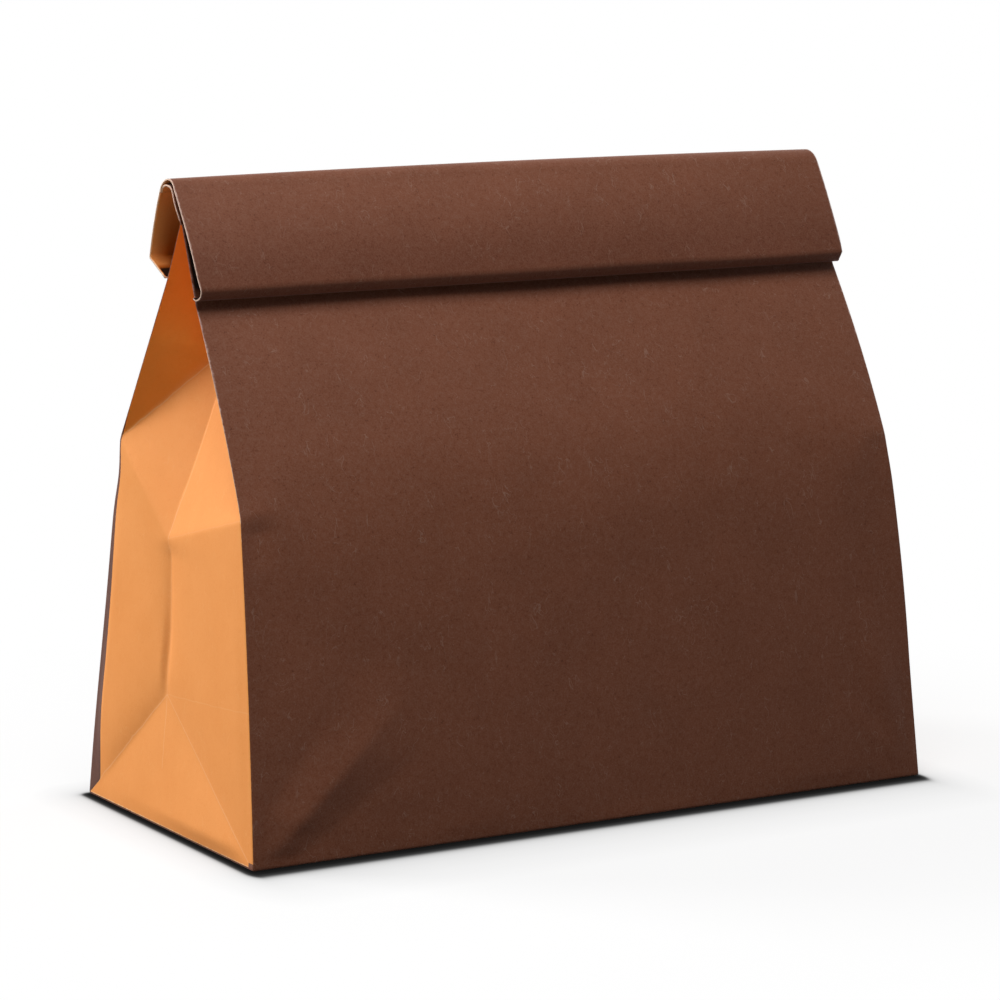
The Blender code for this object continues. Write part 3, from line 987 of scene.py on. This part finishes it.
def kraft(name, look, lines=()):
    """Kraft paper: mottled print, fibres, fine grain, pale wear along the folds and painted shade."""
    material = bpy.data.materials.new(name)
    material.use_nodes = True
    tree = material.node_tree
    shader = tree.nodes["Principled BSDF"]
    where = node(tree, "ShaderNodeTexCoord").outputs["Object"]
    clouds = noise_node(tree, where, CLOUD_SCALE, 5.0, 0.60)
    colour = mixed(tree, ramp(tree, clouds, 0.25, 0.75), look["dark"], look["light"])
    fine = noise_node(tree, where, FINE_SCALE, 1.0, 0.7)
    coarse = noise_node(tree, where, COARSE_SCALE, 2.0, 0.6)
    grain = math_node(tree, "ADD", times(tree, fine, 0.6), times(tree, coarse, 0.4))
    pale = times(tree, ramp(tree, grain, 0.38, 0.75), look["grain"])
    colour = mixed(tree, pale, colour, look["pale"])
    pits = times(tree, ramp(tree, grain, 0.45, 0.22), look["pits"])
    colour = mixed(tree, pits, colour, look["pit"])
    lying = {"Vector": where, "Scale": (1.0, 1.0, 0.5), "Rotation": (0.3, 0.2, 0.1)}
    fibres = fibre_mask(tree, node(tree, "ShaderNodeMapping", lying).outputs[0], FIBRE_SCALE, 0.020, 0.53)
    flecks = fibre_mask(tree, where, FLECK_SCALE, 0.040, 0.60)
    strands = math_node(tree, "MAXIMUM", fibres, flecks)
    colour = mixed(tree, times(tree, strands, look["fibres"]), colour, look["pale"])
    fold = node(tree, "ShaderNodeAttribute", attribute_name="fold").outputs["Fac"]
    wobble = math_node(tree, "SUBTRACT", noise_node(tree, where, WEAR_SCALE), 0.5)
    ragged = math_node(tree, "ADD", fold, times(tree, wobble, look["wear_width"] * 1.6))
    wear = times(tree, ramp(tree, ragged, look["wear_width"], 0.0), look["wear_share"])
    if lines:
        wear = math_node(tree, "MAXIMUM", wear, crease_lines(tree, where, lines, CREASE_WIDTH))
    colour = mixed(tree, wear, colour, look["wear"])
    # Painted shade from the shade attribute: first a tint, then a dark colour where the shade is full.
    shade = node(tree, "ShaderNodeAttribute", attribute_name="shade").outputs["Fac"]
    colour = mixed(tree, times(tree, shade, 1.6, clamp=True), colour, look["painted_shade_tint"], "MULTIPLY")
    colour = mixed(tree, ramp(tree, shade, 0.60, 1.0), colour, look["deep"])
    tree.links.new(colour, shader.inputs["Base Color"])
    smoothest, roughest = ROUGHNESS
    rough = node(tree, "ShaderNodeMapRange", {"Value": coarse, "To Min": smoothest, "To Max": roughest})
    tree.links.new(rough.outputs["Result"], shader.inputs["Roughness"])
    shader.inputs["Specular IOR Level"].default_value = look["gloss"]
    shader.inputs["Sheen Weight"].default_value = look["sheen"]
    shader.inputs["Sheen Roughness"].default_value = SHEEN_ROUGHNESS
    height = math_node(tree, "ADD", grain, times(tree, strands, 0.5))
    cockle = noise_node(tree, where, COCKLE_SCALE)
    height = math_node(tree, "ADD", height, times(tree, cockle, 1.6))
    bumps = node(tree, "ShaderNodeBump",
                 {"Height": height, "Strength": look["bump"], "Distance": BUMP_DISTANCE})
    tree.links.new(bumps.outputs["Normal"], shader.inputs["Normal"])
    return material


def gusset_creases():
    """(start, end, strength) of the pressed lines in a gusset, as (y, z)."""
    def flat(point):
        return point.y, point.z

    peak = flat(gusset_middle(BASE_FOLD_Z, left))
    star = flat(gusset_middle(STAR_Z, left))
    valley = flat(gusset_middle(VALLEY_Z, left))
    front_foot, back_foot = flat(side_fold(0, left, -1)), flat(side_fold(0, left, 1))
    front_kink = flat(side_fold(LEFT_KINK_Z, left, -1))
    back_kink = flat(side_fold(BACK_KINK_Z, left, 1))
    level_end = flat(side_fold(BASE_FOLD_Z + 0.005, left, -1))
    tail = (peak[0], peak[1] * 0.45)
    return [(peak, front_foot, 0.25), (peak, back_foot, 0.25), (peak, tail, 0.25),
            (peak, star, 0.15), (peak, level_end, 0.10), (star, valley, 0.30),
            (back_kink, valley, 0.35), (star, front_kink, 0.08)]


brown = kraft("dark_kraft_print", BROWN_LOOK)
tan = kraft("tan_kraft_print", TAN_LOOK)
creased_tan = kraft("creased_tan_kraft", GUSSET_LOOK, gusset_creases())
cut_edge = kraft("cut_edge_kraft", EDGE_LOOK)

# Pieces
body = Body()
top_row = len(body.levels) - 1
skirt_row = body.levels.index(SKIRT_Z)
corner_row = body.levels.index(CORNER_Z)
right_corner = body.right_start + CORNER_COLUMNS
left_corner = body.ring_count - CORNER_COLUMNS
right_strip = body.back_start - body.strip_columns
left_strip = body.left_start + body.strip_columns
walls = body.piece("walls", [
    (0, body.right_start, 0, top_row),
    (body.right_start, right_strip, 0, skirt_row),
    (body.right_start, right_corner, skirt_row, corner_row),
    (right_strip, left_strip, 0, top_row),
    (left_strip, body.ring_count, 0, skirt_row),
    (left_corner, body.ring_count, skirt_row, corner_row),
], [brown], base=True)
gusset_right = body.piece("gusset_right", [
    (right_corner, right_strip, skirt_row, corner_row),
    (body.right_start, right_strip, corner_row, top_row),
], [creased_tan])
gusset_left = body.piece("gusset_left", [
    (left_strip, left_corner, skirt_row, corner_row),
    (left_strip, body.ring_count, corner_row, top_row),
], [creased_tan])
roll_outer = sheet_piece("roll_outer", roll_section, lambda share: roll_section(share, SHEET),
                         [brown, tan, cut_edge])
roll_inner = sheet_piece("roll_inner", fin_section, lambda share: fin_section(share, FIN_THICKNESS),
                         [brown, tan, cut_edge])
bottom_front = bottom_flap("bottom_front", -1, FRONT_FLAP_Z, [brown, cut_edge])
bottom_back = bottom_flap("bottom_back", 1, BACK_FLAP_Z, [brown, cut_edge])
for piece, slot in ((walls, "dark_kraft"), (roll_outer, "dark_kraft"), (roll_inner, "dark_kraft"),
                    (bottom_front, "dark_kraft"), (bottom_back, "dark_kraft"),
                    (gusset_left, "tan_kraft"), (gusset_right, "tan_kraft")):
    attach(piece, "root")
    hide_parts("paper_bag")


# Floor, light and camera
def beyond(tree, value, half, low_reach, high_reach):
    """Distance past either end of -half to half, each in its own reach."""
    below = times(tree, math_node(tree, "ADD", value, half), -1 / low_reach)
    above = times(tree, math_node(tree, "SUBTRACT", value, half), 1 / high_reach)
    return math_node(tree, "MAXIMUM", math_node(tree, "MAXIMUM", below, above), 0.0)


def background_rays(tree):
    """1 for the rays that show the background: to the camera, in reflections and through glass."""
    rays = node(tree, "ShaderNodeLightPath")
    seen = math_node(tree, "MAXIMUM", rays.outputs["Is Camera Ray"], rays.outputs["Is Glossy Ray"])
    return math_node(tree, "MAXIMUM", seen, rays.outputs["Is Transmission Ray"])


def empty_tree(owner):
    """The node tree of a material or world, without its first nodes."""
    owner.use_nodes = True
    owner.node_tree.nodes.clear()
    return owner.node_tree


def painted_contact_shadow(tree, where):
    """Brightness of the floor round the bag's base: a painted contact shadow, from the distance to the base.
    """
    place = node(tree, "ShaderNodeSeparateXYZ", {0: where})
    aside = beyond(tree, place.outputs["X"], HALF_WIDTH, LEFT_REACH, RIGHT_REACH)
    ahead = beyond(tree, place.outputs["Y"], half_depth, FRONT_REACH, BACK_REACH)
    squares = math_node(tree, "ADD", times(tree, aside, aside), times(tree, ahead, ahead))
    away = times(tree, math_node(tree, "SQRT", squares), 1 / CONTACT_END, clamp=True)
    contact = node(tree, "ShaderNodeValToRGB", {"Fac": away})
    stops = contact.color_ramp.elements
    stops.remove(stops[1])
    stops[0].position = 0.0
    for distance, value in CONTACT_STOPS[1:]:
        stops.new(distance / CONTACT_END)
    for stop, (distance, value) in zip(stops, CONTACT_STOPS):
        stop.color = (value, value, value, 1)
    return contact.outputs["Color"]


def backdrop_material():
    """A pale floor: near the bag it shows a painted contact shadow and the lamps' own shadows, and is white
    beyond to rays that show it.
    """
    material = bpy.data.materials.new("pale_floor")
    tree = empty_tree(material)
    where = node(tree, "ShaderNodeTexCoord").outputs["Object"]
    far = ramp(tree, vector_node(tree, "LENGTH", where).outputs["Value"], WHITE_START, WHITE_END)
    contact = painted_contact_shadow(tree, where)
    # The painted contact shadow darkens both the lit and the glowing part of the floor.
    lit = node(tree, "ShaderNodeBsdfDiffuse", {"Color": times(tree, contact, FLOOR_DIFFUSE)})
    glow = node(tree, "ShaderNodeEmission", {"Strength": times(tree, contact, FLOOR_GLOW)})
    near = node(tree, "ShaderNodeAddShader", {0: lit.outputs[0], 1: glow.outputs[0]})
    white = node(tree, "ShaderNodeEmission", {"Strength": 1.0})
    seen_floor = node(tree, "ShaderNodeMixShader", {0: far, 1: near.outputs[0], 2: white.outputs[0]})
    lighting = node(tree, "ShaderNodeBsdfDiffuse", {"Color": (FLOOR_ALBEDO, FLOOR_ALBEDO, FLOOR_ALBEDO, 1)})
    both = node(tree, "ShaderNodeMixShader",
                {0: background_rays(tree), 1: lighting.outputs[0], 2: seen_floor.outputs[0]})
    node(tree, "ShaderNodeOutputMaterial", {"Surface": both.outputs[0]})
    return material


def make_floor():
    mesh = bpy.data.meshes.new("floor")
    corners = [(x * FLOOR_HALF, y * FLOOR_HALF, 0) for x, y in ((-1, -1), (1, -1), (1, 1), (-1, 1))]
    mesh.from_pydata(corners, [], [(0, 1, 2, 3)])
    mesh.materials.append(backdrop_material())
    floor = bpy.data.objects.new("floor", mesh)
    bpy.context.scene.collection.objects.link(floor)


def make_world():
    world = bpy.data.worlds.new("studio")
    bpy.context.scene.world = world
    tree = empty_tree(world)
    plain = (1.0, 1.0, 1.0, 1)
    ambient = node(tree, "ShaderNodeBackground", {"Color": plain, "Strength": AMBIENT})
    white = node(tree, "ShaderNodeBackground", {"Color": plain, "Strength": 1.0})
    both = node(tree, "ShaderNodeMixShader",
                {0: background_rays(tree), 1: ambient.outputs[0], 2: white.outputs[0]})
    node(tree, "ShaderNodeOutputWorld", {"Surface": both.outputs[0]})


def area_light(name, turn, height, reach, size, power):
    """A square lamp that faces the bag. turn is its angle from the front towards the left."""
    light = bpy.data.lights.new(name, "AREA")
    light.shape = "SQUARE"
    light.size = size
    light.energy = power
    turn, height = math.radians(turn), math.radians(height)
    way = Vector((-math.sin(turn) * math.cos(height), -math.cos(turn) * math.cos(height), math.sin(height)))
    lamp = bpy.data.objects.new(name, light)
    lamp.location = LAMP_TARGET + way * reach
    lamp.rotation_euler = (-way).to_track_quat("-Z", "Y").to_euler()
    bpy.context.scene.collection.objects.link(lamp)


def make_camera():
    """The photograph's view, fitted to the bag's corners."""
    yaw, pitch = math.radians(CAMERA_YAW), math.radians(CAMERA_PITCH)
    look = Vector((math.sin(yaw) * math.cos(pitch), math.cos(yaw) * math.cos(pitch), -math.sin(pitch)))
    aside = Vector((math.cos(yaw), -math.sin(yaw), 0))
    up = aside.cross(look)
    eye = aside * CAMERA_ASIDE + Vector((0, 0, CAMERA_HEIGHT)) - look * CAMERA_DISTANCE
    data = bpy.data.cameras.new("camera")
    data.sensor_width = CAMERA_SENSOR
    data.lens = CAMERA_LENS
    camera = bpy.data.objects.new("camera", data)
    camera.matrix_world = Matrix.Translation(eye) @ Matrix((aside, up, -look)).transposed().to_4x4()
    bpy.context.scene.collection.objects.link(camera)
    bpy.context.scene.camera = camera


make_floor()
make_world()
for name, turn, height, reach, size, power in LAMPS:
    area_light(name, turn, height, reach, size, power)
make_camera()
bpy.context.scene.view_settings.view_transform = "Standard"
